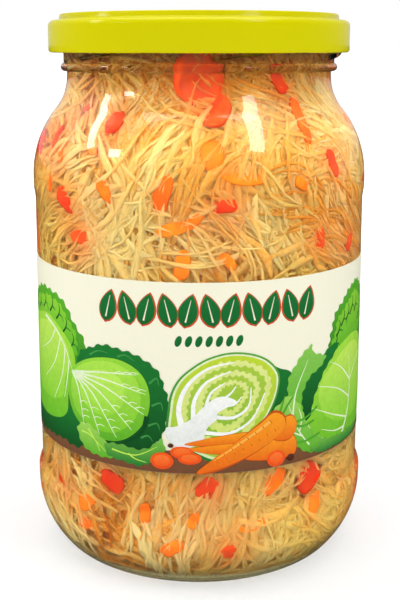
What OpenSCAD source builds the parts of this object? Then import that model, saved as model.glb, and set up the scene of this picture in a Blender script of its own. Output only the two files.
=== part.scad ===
// Round preserving jar with a twist-off lid, a wrap-round paper label and a filling of
// shredded cabbage in brine. Millimetres, +Z up, origin on the standing plane at the jar's axis.

/* [Jar body] */
// Diameter of the straight panel that carries the label
panel_d = 95; // [80:0.5:120]
// Height of the straight panel
panel_h = 77.5; // [60:0.5:120]
// How far the band under the panel stands proud of it
low_proud = 1.1; // [0.4:0.1:2]
// Height of the band under the panel
low_band_h = 2.4; // [1:0.1:10]
// How far the band over the panel stands proud of it
shoulder_proud = 0.4; // [0.2:0.1:2]
// Height of the band over the panel
shoulder_band_h = 2.5; // [1:0.1:10]
// Height over which the wall steps in or out of the panel
step_h = 3.5; // [1.5:0.1:8]
// Radius of the convex half of the shoulder
shoulder_r = 30; // [20:0.5:45]
// Radius of the concave half of the shoulder
throat_r = 15; // [8:0.5:25]
// Glass thickness in the shoulder and the neck
wall = 2.8; // [1.8:0.1:4]

/* [Jar base] */
// How far the standing ring's edge lies inside the lower band
heel_reach = 10.9; // [8:0.1:16]
// Radius of the large curve of the heel
heel_r = 26; // [20:0.5:40]
// Radius where the heel meets the standing ring
toe_r = 6; // [3:0.5:8]
// Width of the standing ring
foot_w = 3.6; // [2:0.1:8]
// Rise of the hollow under the base
push_h = 3; // [1:0.1:8]
// Glass thickness over the standing ring
floor_t = 3.4; // [2:0.1:8]
// Radius inside, where the floor meets the wall
corner_r = 13; // [8:0.5:18]

/* [Neck and finish] */
// Outer diameter of the neck
neck_d = 75.4; // [64:0.1:92]
// Height of the bead's middle over the end of the shoulder
bead_rise = 2.1; // [1.5:0.1:6]
// Height of the bead
bead_h = 2.4; // [1.5:0.1:4]
// How far the bead stands out from the neck
bead_proud = 1.75; // [1:0.05:4]
// How far the finish stands out from the neck
finish_proud = 0.9; // [0.3:0.1:2]
// Height of the rim over the bead's middle
finish_h = 13.5; // [12:0.1:18]
// Rounding of the rim's edges
rim_r = 1; // [0.4:0.1:1.3]
// Number of thread ridges, and of lugs that hook under them
ridges = 6; // [4:1:6]
// Angle that each ridge covers
ridge_span = 50; // [30:1:54]
// Fall of a ridge from its high end to its low end
ridge_fall = 4.8; // [3:0.1:6]
// Depth of the ridges' middles under the rim
ridge_drop = 8.2; // [7.5:0.1:10]
// How far a ridge stands out from the finish
ridge_out = 2; // [1:0.1:2.5]
// Height of a ridge at its crest
ridge_crest_h = 1.2; // [0.6:0.1:2]
// Height of a ridge at its root
ridge_root_h = 2.4; // [1.5:0.1:3]

/* [Lid] */
// Thickness of the tinplate
plate_t = 0.4; // [0.2:0.05:0.6]
// Thickness of the sealing compound over the rim
liner_t = 0.6; // [0.3:0.1:1.2]
// Clear space between the thread ridges and the skirt
skirt_gap = 1.75; // [1.2:0.05:3]
// Depth of the skirt's lower edge under the rim
skirt_drop = 9.6; // [9:0.1:11]
// Radius of the curled edge
curl_r = 0.9; // [0.7:0.05:1.1]
// How far the top ring reaches past the rim on each side
ring_lap = 0.9; // [0.6:0.1:1.2]
// Radius of the bends on the top ring
bend_r = 0.5; // [0.2:0.1:0.6]
// Width of the slope from the top ring down to the middle panel
slope_w = 1.5; // [1:0.1:4]
// Radius of the skirt's upper corner
lid_corner_r = 2; // [1:0.1:2.5]
// Depth of the outer shoulder under the top ring
lid_step = 1.05; // [0.8:0.05:1.3]
// Drop of the middle panel under the top ring
panel_drop = 1.6; // [1.1:0.1:2]
// Diameter of the safety button
button_d = 30; // [20:1:40]
// Rise of the safety button
button_h = 0.7; // [0.3:0.1:1]
// Angle that each lug covers
lug_span = 10; // [6:1:14]
// Height of a lug
lug_h = 1; // [0.6:0.1:1.1]
// Clear space between a lug and the finish
lug_gap = 0.8; // [0.5:0.1:1.2]
// Angle from a ridge's high end back to the middle of its lug
lug_inset = 13; // [8:1:20]

/* [Label] */
// Height of the label
label_h = 51; // [30:0.5:55]
// Height of the label's lower edge over the start of the panel
label_rise = 10.2; // [0.5:0.1:12]
// Thickness of the paper
paper_t = 0.15; // [0.1:0.01:0.3]
// Width of the lapped seam at the back
lap_w = 9; // [4:0.5:16]

/* [Filling] */
// Depth of the brine's surface under the rim
headspace = 7.8; // [4:0.1:14]
// Rise of the packed cabbage over the brine in the middle
mound_h = 1; // [0.2:0.1:2]

/* [Hidden] */
$fn = 128;
steps = 12; // segments in each arc of a profile
overlap = 0.3; // how deep a raised feature is rooted in its wall

// Radii
panel_r = panel_d / 2;
low_r = panel_r + low_proud;
bulge_r = panel_r + shoulder_proud;
inner_r = bulge_r - wall;
neck_r = neck_d / 2;
bore_r = neck_r - wall;
foot_r = low_r - heel_reach;
hollow_r = foot_r - foot_w;
finish_r = neck_r + finish_proud;
ridge_r = finish_r + ridge_out;
skirt_r = ridge_r + skirt_gap + plate_t;
lug_r = finish_r + lug_gap;

// Angles where the two curves of the heel, and of the shoulder, meet
heel_a = asin((heel_r - heel_reach) / (heel_r - toe_r));
ogee_a = acos(1 - (bulge_r - neck_r) / (shoulder_r + throat_r));

// Heights, from the standing plane up
heel_z = toe_r * (1 - cos(heel_a)) + heel_r * cos(heel_a);
low_step_z = heel_z + low_band_h;
panel_z = low_step_z + step_h;
high_step_z = panel_z + panel_h;
bulge_z = high_step_z + step_h + shoulder_band_h;
neck_z = bulge_z + (shoulder_r + throat_r) * sin(ogee_a);
bead_z = neck_z + bead_rise;
rim_z = bead_z + finish_h;
brine_z = rim_z - headspace;
label_z = panel_z + label_rise;
ridge_z = rim_z - ridge_drop;
hem_z = rim_z - skirt_drop;
lid_z = rim_z + liner_t + plate_t;

ridge_tilt = asin(ridge_fall / 2 / (finish_r * sin(ridge_span / 2)));
lug_a = ridge_span / 2 - lug_inset; // angle from a ridge's middle to the middle of its lug

// Points of an arc round (x, z), from angle a to angle b
function arc(x, z, r, a, b) =
    [for (i = [0:steps]) let (t = a + (b - a) * i / steps) [x + r * cos(t), z + r * sin(t)]];

// Points of a smooth step from radius r to radius s, rising h from height z
function ease(r, s, z, h) =
    [for (i = [0:steps]) [r + (s - r) * (1 - cos(180 * i / steps)) / 2, z + h * i / steps]];

// Points of a quarter ellipse from the axis, at height top, out to (r, z)
function dome(r, z, top) =
    [for (i = [0:steps]) let (t = 90 * i / steps) [r * sin(t), z + (top - z) * cos(t)]];

function backwards(points) = [for (i = [len(points) - 1:-1:0]) points[i]];

// Outside of the glass, from the middle of the base up to the rim
function outside() = concat(
    dome(hollow_r, 0, push_h),
    arc(foot_r, toe_r, toe_r, -90, heel_a - 90),
    arc(low_r - heel_r, heel_z, heel_r, heel_a - 90, 0),
    ease(low_r, panel_r, low_step_z, step_h),
    ease(panel_r, bulge_r, high_step_z, step_h),
    arc(bulge_r - shoulder_r, bulge_z, shoulder_r, 0, ogee_a),
    arc(neck_r + throat_r, neck_z, throat_r, 180 + ogee_a, 180),
    [[neck_r, bead_z - bead_h / 2]],
    arc(neck_r + bead_proud - bead_h / 2, bead_z, bead_h / 2, -90, 90),
    [[finish_r, bead_z + bead_h / 2]],
    arc(finish_r - rim_r, rim_z - rim_r, rim_r, 0, 90)
);

// Inside of the glass, from the middle of the floor up to height z in the bore
function inside(z) = concat(
    dome(inner_r - corner_r, floor_t, push_h + floor_t),
    arc(inner_r - corner_r, floor_t + corner_r, corner_r, -90, 0),
    arc(bulge_r - shoulder_r, bulge_z, shoulder_r - wall, 0, ogee_a),
    arc(neck_r + throat_r, neck_z, throat_r + wall, 180 + ogee_a, 180),
    [[bore_r, z]]
);

// One thread ridge: a tapered arc on the finish, tilted so that it climbs like a right-hand thread
module ridge() {
    translate([0, 0, ridge_z])
        rotate([ridge_tilt, 0, 0])
            rotate([0, 0, -ridge_span / 2])
                rotate_extrude(angle = ridge_span)
                    polygon([
                        [finish_r - overlap, -ridge_root_h / 2],
                        [ridge_r, -ridge_crest_h / 2],
                        [ridge_r, ridge_crest_h / 2],
                        [finish_r - overlap, ridge_root_h / 2]
                    ]);
}

module jar() {
    color([0.86, 0.91, 0.87, 0.35]) {
        rotate_extrude()
            polygon(concat(
                outside(),
                arc(bore_r + rim_r, rim_z - rim_r, rim_r, 90, 180),
                backwards(inside(rim_z - rim_r))
            ));
        for (i = [0:ridges - 1])
            rotate([0, 0, 360 * i / ridges])
                ridge();
    }
}

// Section of the lid's pressed plate: button, middle panel, ring over the rim, shoulder and skirt
function plate_section() = let (
    ring_in = bore_r - ring_lap,
    ring_out = finish_r + ring_lap,
    panel_top = lid_z - panel_drop,
    button_top = panel_top + button_h,
    step_z = lid_z - lid_step,
    corner_x = skirt_r - lid_corner_r,
    corner_z = step_z - lid_corner_r
) concat(
    dome(button_d / 2, panel_top, button_top),
    [[ring_in - slope_w, panel_top]],
    arc(ring_in + bend_r, lid_z - bend_r, bend_r, 180, 90),
    arc(ring_out - bend_r, lid_z - bend_r, bend_r, 90, 0),
    arc(corner_x, corner_z, lid_corner_r, 90, 0),
    [[skirt_r, hem_z + curl_r], [skirt_r - plate_t, hem_z + curl_r]],
    arc(corner_x, corner_z, lid_corner_r - plate_t, 0, 90),
    [[ring_out - plate_t, step_z - plate_t], [ring_out - plate_t, rim_z]],
    [[ring_in, rim_z], [ring_in - slope_w, panel_top - plate_t]],
    backwards(dome(button_d / 2, panel_top - plate_t, button_top - plate_t))
);

// One lug: a stretch of the curled edge pressed inwards under a thread ridge
module lug() {
    rotate([0, 0, lug_a - lug_span / 2])
        rotate_extrude(angle = lug_span)
            translate([lug_r, hem_z])
                square([skirt_r - curl_r - lug_r, lug_h]);
}

module lid() {
    color([0.86, 0.85, 0.02]) {
        rotate_extrude() {
            polygon(plate_section());
            translate([skirt_r - curl_r, hem_z + curl_r])
                circle(r = curl_r);
        }
        for (i = [0:ridges - 1])
            rotate([0, 0, 360 * i / ridges])
                lug();
    }
}

// A strip of paper right round the panel, with its end lapped over its start at the back
module label() {
    lap_a = lap_w / (panel_r + paper_t) * 180 / PI;
    color([0.99, 0.97, 0.87])
        translate([0, 0, label_z]) {
            rotate_extrude()
                translate([panel_r, 0])
                    square([paper_t, label_h]);
            rotate([0, 0, 90 - lap_a / 2])
                rotate_extrude(angle = lap_a)
                    translate([panel_r, 0])
                        square([paper_t * 2, label_h]);
        }
}

// Cabbage and brine fill the glass to the brine's level, with a low mound in the middle
module filling() {
    color([0.93, 0.74, 0.45])
        rotate_extrude()
            polygon(concat(
                inside(brine_z),
                backwards(dome(bore_r - 4, brine_z, brine_z + mound_h))
            ));
}

jar();
lid();
label();
filling();
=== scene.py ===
import math

import bmesh
import bpy
import numpy as np
from mathutils import Matrix, Vector


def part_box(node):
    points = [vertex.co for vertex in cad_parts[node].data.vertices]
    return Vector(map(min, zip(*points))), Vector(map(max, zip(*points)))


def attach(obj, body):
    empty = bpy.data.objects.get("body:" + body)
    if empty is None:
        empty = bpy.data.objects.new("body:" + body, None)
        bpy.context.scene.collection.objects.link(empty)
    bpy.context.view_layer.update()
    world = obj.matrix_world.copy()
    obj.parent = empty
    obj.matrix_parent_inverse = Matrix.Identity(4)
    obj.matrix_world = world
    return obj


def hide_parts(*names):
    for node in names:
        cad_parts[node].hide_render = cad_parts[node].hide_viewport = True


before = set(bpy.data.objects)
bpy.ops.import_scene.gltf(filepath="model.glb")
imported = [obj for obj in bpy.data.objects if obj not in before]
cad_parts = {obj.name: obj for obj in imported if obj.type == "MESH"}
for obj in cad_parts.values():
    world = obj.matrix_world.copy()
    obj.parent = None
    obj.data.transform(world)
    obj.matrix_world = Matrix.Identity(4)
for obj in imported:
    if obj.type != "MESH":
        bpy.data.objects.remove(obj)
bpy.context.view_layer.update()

# Studio. The jar stands on white paper in a white room, under soft boxes at its left, at its right
# and overhead. A long lens looks at it from just above the shoulder.

MM = 0.001
CAMERA_REACH, CAMERA_HEIGHT = 299.7, 144.4  # mm in front of the jar's axis, and over the floor
CAMERA_PITCH = 10.6  # degrees down from level

camera = bpy.data.objects.new("camera", bpy.data.cameras.new("camera"))
camera.location = (0, -CAMERA_REACH * MM, CAMERA_HEIGHT * MM)
camera.rotation_euler = (math.radians(90 - CAMERA_PITCH), 0, 0)
camera.data.lens = 61.66
camera.data.shift_x = 0.0017
camera.data.shift_y = -0.1
camera.data.clip_start = 0.01
bpy.context.scene.collection.objects.link(camera)
bpy.context.scene.camera = camera


def linear(hex_colour, alpha=1.0):
    """An sRGB colour such as "#e8b96e" as linear red, green, blue and alpha."""
    parts = [int(hex_colour[i:i + 2], 16) / 255 for i in (1, 3, 5)]
    return (*[c / 12.92 if c <= 0.04045 else ((c + 0.055) / 1.055) ** 2.4 for c in parts], alpha)


def add(tree, kind, inputs=None, **settings):
    """Add a node. Settings are its properties; inputs are values, or sockets to link."""
    new = tree.nodes.new("ShaderNode" + kind)
    for key, value in settings.items():
        setattr(new, key, value)
    for key, value in (inputs or {}).items():
        if isinstance(value, bpy.types.NodeSocket):
            tree.links.new(value, new.inputs[key])
        else:
            new.inputs[key].default_value = value
    return new


def new_material(name):
    """An empty material, its node tree and its output node."""
    material = bpy.data.materials.new(name)
    material.use_nodes = True
    material.node_tree.nodes.clear()
    return material, material.node_tree, add(material.node_tree, "OutputMaterial")


def mottled(tree, scale, dark, light, detail=2.0, distortion=0.0):
    """The piece's own space, noise in it, and a ramp of colour from dark to light that follows the noise."""
    place = add(tree, "TexCoord").outputs["Object"]
    noise = add(tree, "TexNoise", {"Vector": place, "Scale": scale, "Detail": detail,
                                   "Distortion": distortion})
    ramp = add(tree, "ValToRGB", {"Fac": noise.outputs["Fac"]})
    ramp.color_ramp.elements[0].color = linear(dark)
    ramp.color_ramp.elements[1].color = linear(light)
    return place, noise, ramp


LAMP_AIM = Vector((0, 0, 0.09))  # metres: the place in the jar that every lamp faces


def soft_box(name, low_end, high_end, width, power, mirrored=True):
    """A strip lamp between two places in metres, turned to face the jar, and mirrored in gloss or not."""
    low_end, high_end = Vector(low_end), Vector(high_end)
    middle = (low_end + high_end) / 2
    away = (middle - LAMP_AIM).normalized()
    across = (high_end - low_end).cross(away).normalized()
    lamp = bpy.data.lights.new(name, "AREA")
    lamp.shape = "RECTANGLE"
    lamp.size, lamp.size_y = width, (high_end - low_end).length
    lamp.energy = power
    holder = bpy.data.objects.new(name, lamp)
    holder.location = middle
    holder.rotation_euler = Matrix((across, away.cross(across), away)).transposed().to_euler()
    holder.visible_glossy = mirrored
    bpy.context.scene.collection.objects.link(holder)


soft_box("left_strip", (-0.94, -0.11, 0.53), (-0.63, 0.24, 0.87), 0.10, 1.9)
soft_box("left_card", (-0.84, -0.46, 0.50), (-0.79, -0.41, 0.60), 0.15, 0.7)
soft_box("right_strip", (0.60, -0.65, 0.64), (0.40, -0.11, 1.04), 0.16, 2.4)
soft_box("front_fill", (-0.3, -1.05, 0.3), (-0.3, -1.0, 1.1), 1.2, 1.42, mirrored=False)
soft_box("top_box", (0, -0.35, 1.1), (0, 0.55, 1.1), 1.1, 9.3)

world = bpy.data.worlds.new("studio")
bpy.context.scene.world = world
world.use_nodes = True
tree = world.node_tree
tree.nodes.clear()


def in_gloss(tree):
    """1 for what is seen in a mirror image and 0 for all else, and the ray's own outputs."""
    ray = add(tree, "LightPath").outputs
    glossy = add(tree, "Math", {0: ray["Glossy Depth"], 1: 0.5}, operation="GREATER_THAN")
    direct = add(tree, "Math", {0: ray["Diffuse Depth"], 1: 0.5}, operation="LESS_THAN")
    both = add(tree, "Math", {0: glossy.outputs[0], 1: direct.outputs[0]}, operation="MULTIPLY")
    return both.outputs[0], ray


# The room is white, but dark cards stand in front of the jar, so its gloss mirrors white only from
# the sides and the back. What is inside the glass gets more of the room's light than the floor does.
DARK_CARD, PALE_WALL = 0.06, 0.6  # what a mirror image shows of the room, in front and behind
ROOM_LIGHT, LIGHT_IN_GLASS = 0.34, 10.5  # how strongly the room lights things, outside and inside the glass
mirror, ray = in_gloss(tree)
facing = add(tree, "SeparateXYZ", {"Vector": add(tree, "TexCoord").outputs["Generated"]}).outputs["Y"]
cards = add(tree, "MapRange", {"Value": facing, "From Min": -0.2, "From Max": 1.0,
                               "To Min": DARK_CARD, "To Max": PALE_WALL})
lit = add(tree, "Mix", {"Factor": ray["Is Transmission Ray"], "A": ROOM_LIGHT, "B": LIGHT_IN_GLASS})
near = add(tree, "Math", {0: ray["Diffuse Depth"], 1: 0.5}, operation="LESS_THAN")
clear_way = add(tree, "Math", {0: ray["Is Transmission Ray"], 1: near.outputs[0]}, operation="MULTIPLY")
seen = add(tree, "Math", {0: ray["Is Camera Ray"], 1: clear_way.outputs[0]}, operation="MAXIMUM")
bright = add(tree, "Mix", {"Factor": seen.outputs[0], "A": lit.outputs["Result"], "B": 1.0})
bright = add(tree, "Mix", {"Factor": mirror, "A": bright.outputs["Result"], "B": cards.outputs["Result"]})
sky = add(tree, "Background", {"Color": linear("#ffffff"), "Strength": bright.outputs["Result"]})
tree.links.new(sky.outputs[0], add(tree, "OutputWorld").inputs["Surface"])
bpy.context.scene.view_settings.view_transform = "Standard"
bpy.context.scene.cycles.diffuse_bounces = 8  # light crosses the tangle of shreds many times
bpy.context.scene.cycles.max_bounces = 16

# White paper on a light table: it glows faintly under the jar, and further out as white as the room.
GLOW_NEAR, GLOW_FAR, GLOW_REACH = 0.5, 1.0, 0.7  # strengths, and metres from the jar's axis
white_sweep, tree, output = new_material("white_paper_sweep")
place, _, tone = mottled(tree, 900.0, "#bababa", "#bebebe")
reach = add(tree, "VectorMath", {0: place}, operation="LENGTH").outputs["Value"]
glow = add(tree, "MapRange", {"Value": reach, "From Min": 0.1, "From Max": GLOW_REACH,
                              "To Min": GLOW_NEAR, "To Max": GLOW_FAR})
paper = add(tree, "BsdfPrincipled", {
    "Base Color": tone.outputs["Color"], "Roughness": 0.9,
    "Emission Color": linear("#fafcff"), "Emission Strength": glow.outputs["Result"],
})
mirror, ray = in_gloss(tree)
dim = add(tree, "MapRange", {"Value": ray["Is Transmission Ray"], "To Min": DARK_CARD, "To Max": PALE_WALL})
card = add(tree, "Emission", {"Color": linear("#e8f0d8"), "Strength": dim.outputs["Result"]})
front = add(tree, "MixShader", {0: mirror, 1: paper.outputs[0], 2: card.outputs[0]})
tree.links.new(front.outputs[0], output.inputs["Surface"])
bm = bmesh.new()
bmesh.ops.create_grid(bm, x_segments=4, y_segments=4, size=40.0)
sweep_mesh = bpy.data.meshes.new("sweep")
bm.to_mesh(sweep_mesh)
bm.free()
sweep_mesh.materials.append(white_sweep)
sweep = bpy.data.objects.new("sweep", sweep_mesh)
bpy.context.scene.collection.objects.link(sweep)

# Glass jar. Clear soda-lime glass, pressed and blown in a two-part iron mould: a hollow foot, a
# round heel, a sunk panel for the label, an ogee shoulder, a bead and a finish with thread ridges.

jar_high = Vector(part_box("jar")[1]) / MM
label_low, label_high = (Vector(corner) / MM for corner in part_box("label"))
filling_high = Vector(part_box("filling")[1]) / MM

PAPER = 0.15  # thickness of the label
BAND_PROUD, BULGE_PROUD = 1.1, 0.4  # how far the bands under and over the panel stand out
HEEL_REACH, HEEL_R, TOE_R = 10.9, 26.0, 6.0
FOOT_W, PUSH_UP, FLOOR = 3.6, 3.0, 2.3
LOW_BAND, STEP, PANEL, HIGH_BAND = 2.4, 3.5, 77.5, 2.5  # heights up the wall
SHOULDER_R, THROAT_R, NECK_R, WALL = 30.0, 15.0, 37.7, 2.8
CORNER_R = 10.5  # inside, where the floor meets the wall
BEAD_RISE, BEAD_H, BEAD_PROUD = 2.1, 2.4, 1.75
FINISH_PROUD, RIM_R = 0.9, 1.0
RIDGES, RIDGE_SPAN, RIDGE_FALL, RIDGE_DROP, RIDGE_OUT = 6, 50.0, 4.8, 8.2, 2.0
RIDGE_CREST, RIDGE_ROOT = 1.2, 2.4

band_r = jar_high.x
panel_r = band_r - BAND_PROUD
bulge_r = panel_r + BULGE_PROUD
inner_r = bulge_r - WALL
bore_r = NECK_R - WALL
foot_r = band_r - HEEL_REACH
finish_r = NECK_R + FINISH_PROUD
heel_turn = math.degrees(math.asin((HEEL_R - HEEL_REACH) / (HEEL_R - TOE_R)))
ogee_turn = math.degrees(math.acos(1 - (bulge_r - NECK_R) / (SHOULDER_R + THROAT_R)))
heel_z = TOE_R * (1 - math.cos(math.radians(heel_turn))) + HEEL_R * math.cos(math.radians(heel_turn))
panel_z = heel_z + LOW_BAND + STEP
high_z = panel_z + PANEL
bulge_z = high_z + STEP + HIGH_BAND
neck_z = bulge_z + (SHOULDER_R + THROAT_R) * math.sin(math.radians(ogee_turn))
bead_z = neck_z + BEAD_RISE
rim_z = jar_high.z
ridge_z = rim_z - RIDGE_DROP


def arc(x, z, r, start, end, steps=12):
    """Points of an arc round (x, z), from one angle in degrees to another."""
    angles = [math.radians(start + (end - start) * i / steps) for i in range(steps + 1)]
    return [(x + r * math.cos(a), z + r * math.sin(a)) for a in angles]


def ease(r, s, z, h, steps=14):
    """Points of a smooth step from radius r to radius s, rising h from height z."""
    waves = [(1 - math.cos(math.pi * i / steps)) / 2 for i in range(steps + 1)]
    return [(r + (s - r) * wave, z + h * i / steps) for i, wave in enumerate(waves)]


def dome(r, z, top, steps=14):
    """Points of a quarter ellipse from the axis, at height top, out to (r, z)."""
    angles = [math.pi / 2 * i / steps for i in range(steps + 1)]
    return [(r * math.sin(a), z + (top - z) * math.cos(a)) for a in angles]


def rows(r, low, high, pitch):
    """Points straight up a wall, a pitch or less apart."""
    count = max(1, math.ceil((high - low) / pitch))
    return [(r, low + (high - low) * i / count) for i in range(count + 1)]


def inside(top, gap=0.0):
    """Section of the inside of the glass, from the floor's middle up to a height, a gap in from the wall."""
    return (
        dome(inner_r - CORNER_R, FLOOR + gap, PUSH_UP + FLOOR + gap)
        + arc(inner_r - CORNER_R, FLOOR + CORNER_R, CORNER_R - gap, -90, 0)
        + rows(inner_r - gap, FLOOR + CORNER_R + 1, bulge_z - 1, 3.0)
        + arc(bulge_r - SHOULDER_R, bulge_z, SHOULDER_R - WALL - gap, 0, ogee_turn, 20)
        + arc(NECK_R + THROAT_R, neck_z, THROAT_R + WALL + gap, 180 + ogee_turn, 180, 14)
        + [(bore_r - gap, top)]
    )


def turned(section, steps=240, closed=True):
    """A section of (radius, height) points in mm, spun right round the jar's axis."""
    bm = bmesh.new()
    points = [bm.verts.new((r * MM, 0, z * MM)) for r, z in section]
    pairs = list(zip(points, points[1:])) + ([(points[-1], points[0])] if closed else [])
    edges = [bm.edges.new(pair) for pair in pairs]
    bmesh.ops.spin(
        bm, geom=points + edges, cent=(0, 0, 0), axis=(0, 0, 1), angle=math.tau, steps=steps, use_merge=True,
    )
    bmesh.ops.remove_doubles(bm, verts=bm.verts, dist=1e-7)
    bmesh.ops.dissolve_degenerate(bm, edges=bm.edges, dist=1e-8)
    bmesh.ops.delete(bm, geom=[e for e in bm.edges if e.is_wire], context="EDGES")
    bmesh.ops.recalc_face_normals(bm, faces=bm.faces)
    return bm


def piece(name, bm, material, crease=40):
    """Finish a bmesh as a piece that rides with the jar, smooth but for creases over an angle."""
    mesh = bpy.data.meshes.new(name)
    bm.to_mesh(mesh)
    bm.free()
    mesh.materials.append(material)
    mesh.shade_smooth()
    mesh.set_sharp_from_angle(angle=math.radians(crease))
    made = bpy.data.objects.new(name, mesh)
    bpy.context.scene.collection.objects.link(made)
    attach(made, "root")
    return made


def clear(name, ior, tint, shade, rough=0.0):
    """A clear substance that bends light, with a plain tinted shadow so that lamps reach what is behind."""
    material, tree, output = new_material(name)
    body = add(tree, "BsdfPrincipled", {
        "Base Color": linear(tint), "Roughness": rough, "IOR": ior, "Transmission Weight": 1.0,
    })
    lamp_way = add(tree, "BsdfTransparent", {"Color": linear(shade)})
    is_lamp = add(tree, "LightPath").outputs["Is Shadow Ray"]
    mix = add(tree, "MixShader", {0: is_lamp, 1: body.outputs[0], 2: lamp_way.outputs[0]})
    tree.links.new(mix.outputs[0], output.inputs["Surface"])
    return material


# Soda-lime glass, fire polished: colourless, with a faint green where it is thick.
soda_lime_glass = clear("fire_polished_soda_lime_glass", 1.52, "#fafdfb", "#fafdfb")

outside = (
    dome(foot_r - FOOT_W, 0, PUSH_UP)
    + arc(foot_r, TOE_R, TOE_R, -90, heel_turn - 90, 8)
    + arc(band_r - HEEL_R, heel_z, HEEL_R, heel_turn - 90, 0, 16)
    + ease(band_r, panel_r, heel_z + LOW_BAND, STEP)
    + rows(panel_r, panel_z + 1, high_z - 1, 6.0)
    + ease(panel_r, bulge_r, high_z, STEP)
    + arc(bulge_r - SHOULDER_R, bulge_z, SHOULDER_R, 0, ogee_turn, 20)
    + arc(NECK_R + THROAT_R, neck_z, THROAT_R, 180 + ogee_turn, 180, 14)
    + [(NECK_R, bead_z - BEAD_H / 2)]
    + arc(NECK_R + BEAD_PROUD - BEAD_H / 2, bead_z, BEAD_H / 2, -90, 90, 14)
    + rows(finish_r, bead_z + BEAD_H / 2, rim_z - RIM_R - 0.1, 0.3)
    + arc(finish_r - RIM_R, rim_z - RIM_R, RIM_R, 0, 90, 8)
)
glass = turned(
    outside + arc(bore_r + RIM_R, rim_z - RIM_R, RIM_R, 90, 180, 8) + inside(rim_z - RIM_R)[::-1]
)
ridge_low = bead_z + BEAD_H / 2 + 0.1
for v in glass.verts:
    x, y, z = v.co / MM
    r = math.hypot(x, y)
    if r < finish_r - RIM_R or not ridge_low < z < rim_z - RIM_R:
        continue
    pitch = 360 / RIDGES
    turn = (math.degrees(math.atan2(y, x)) + pitch / 2) % pitch - pitch / 2
    crest = ridge_z + RIDGE_FALL / 2 * math.sin(math.radians(turn)) / math.sin(math.radians(RIDGE_SPAN / 2))
    rise = (RIDGE_ROOT / 2 - abs(z - crest)) / (RIDGE_ROOT / 2 - RIDGE_CREST / 2)
    fade = (RIDGE_SPAN / 2 - abs(turn)) / 2.5
    out = RIDGE_OUT * max(0, min(1, rise)) * max(0, min(1, fade))
    v.co.x *= (r + out) / r
    v.co.y *= (r + out) / r
jar_glass = piece("jar_glass", glass, soda_lime_glass)
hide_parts("jar")

# Lid. A twist-off cap pressed from tinplate: a safety button in a sunk panel, a ring over the rim,
# a sloped shoulder, a plain skirt with a curled edge, and lugs that hook under the thread ridges.

lid_low, lid_high = (Vector(corner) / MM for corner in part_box("lid"))
skirt_r = lid_high.x
hem_z = lid_low.z
lid_z = lid_high.z
PLATE, CURL_R, LID_CORNER, LID_STEP, PANEL_DROP = 0.4, 0.9, 1.7, 1.7, 1.6
BUTTON_D, BUTTON_H, RING_LAP, BEND_R, SLOPE_W = 30.0, 0.7, 0.9, 0.5, 1.5
LUG_SPAN, LUG_INSET, LUG_REACH = 10.0, 13.0, 1.55

ring_in, ring_out = bore_r - RING_LAP, finish_r + RING_LAP
panel_top = lid_z - PANEL_DROP
step_z = lid_z - LID_STEP
corner_x, corner_z = skirt_r - LID_CORNER, step_z - LID_CORNER
lid_top = (
    dome(BUTTON_D / 2, panel_top, panel_top + BUTTON_H)
    + [(BUTTON_D / 2 + 0.6, panel_top), (ring_in - SLOPE_W - 0.4, panel_top)]
    + arc(ring_in + BEND_R, lid_z - BEND_R, BEND_R, 160, 90, 6)
    + arc(ring_out - BEND_R, lid_z - BEND_R, BEND_R, 90, 10, 6)
    + [(ring_out + 0.15, step_z + 0.35), (ring_out + 0.6, step_z + 0.05)]
    + arc(corner_x, corner_z, LID_CORNER, 75, 0, 10)
)
under = (
    arc(corner_x, corner_z, LID_CORNER - PLATE, 0, 75, 8)
    + [(ring_out - PLATE, step_z - PLATE), (ring_out - PLATE, rim_z), (ring_in, rim_z)]
    + [(ring_in - SLOPE_W, panel_top - PLATE), (BUTTON_D / 2, panel_top - PLATE)]
    + dome(BUTTON_D / 2, panel_top - PLATE, panel_top + BUTTON_H - PLATE)[::-1]
)
curl = arc(skirt_r - CURL_R, hem_z + CURL_R, CURL_R, 0, -215, 16)
plate = turned(lid_top + rows(skirt_r, hem_z + CURL_R, corner_z, 1.5)[::-1] + curl
               + rows(skirt_r - PLATE, hem_z + CURL_R + 0.5, corner_z, 1.5) + under)
for v in plate.verts:
    x, y, z = v.co / MM
    r = math.hypot(x, y)
    if z > hem_z + 2 * CURL_R or r > skirt_r - 0.6 * CURL_R:
        continue
    pitch = 360 / RIDGES
    lug_mid = RIDGE_SPAN / 2 - LUG_INSET
    turn = abs((math.degrees(math.atan2(y, x)) - lug_mid + pitch / 2) % pitch - pitch / 2)
    press = LUG_REACH * max(0, min(1, (LUG_SPAN / 2 + 1 - turn) / 2))
    v.co.x *= (r - press) / r
    v.co.y *= (r - press) / r

# Stoving enamel over tinplate: a hard yellow-green gloss with a faint orange peel.
enamel, tree, output = new_material("yellow_green_stoving_enamel")
place, _, shade = mottled(tree, 60.0, "#cfc800", "#d5ce00")
peel = add(tree, "TexNoise", {"Vector": place, "Scale": 1500.0, "Detail": 1.0})
bump = add(tree, "Bump", {"Height": peel.outputs["Fac"], "Strength": 0.04, "Distance": 0.0001})
coat = add(tree, "BsdfPrincipled", {
    "Base Color": shade.outputs["Color"], "Roughness": 0.16, "IOR": 1.5, "Normal": bump.outputs["Normal"],
    "Specular IOR Level": 0.14,
})
tree.links.new(coat.outputs[0], output.inputs["Surface"])
lid_cap = piece("lid_cap", plate, enamel, 50)
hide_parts("lid")

# Label. A strip of coated cream paper, glued right round the sunk panel, with its end lapped over
# its start at the back.

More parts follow.
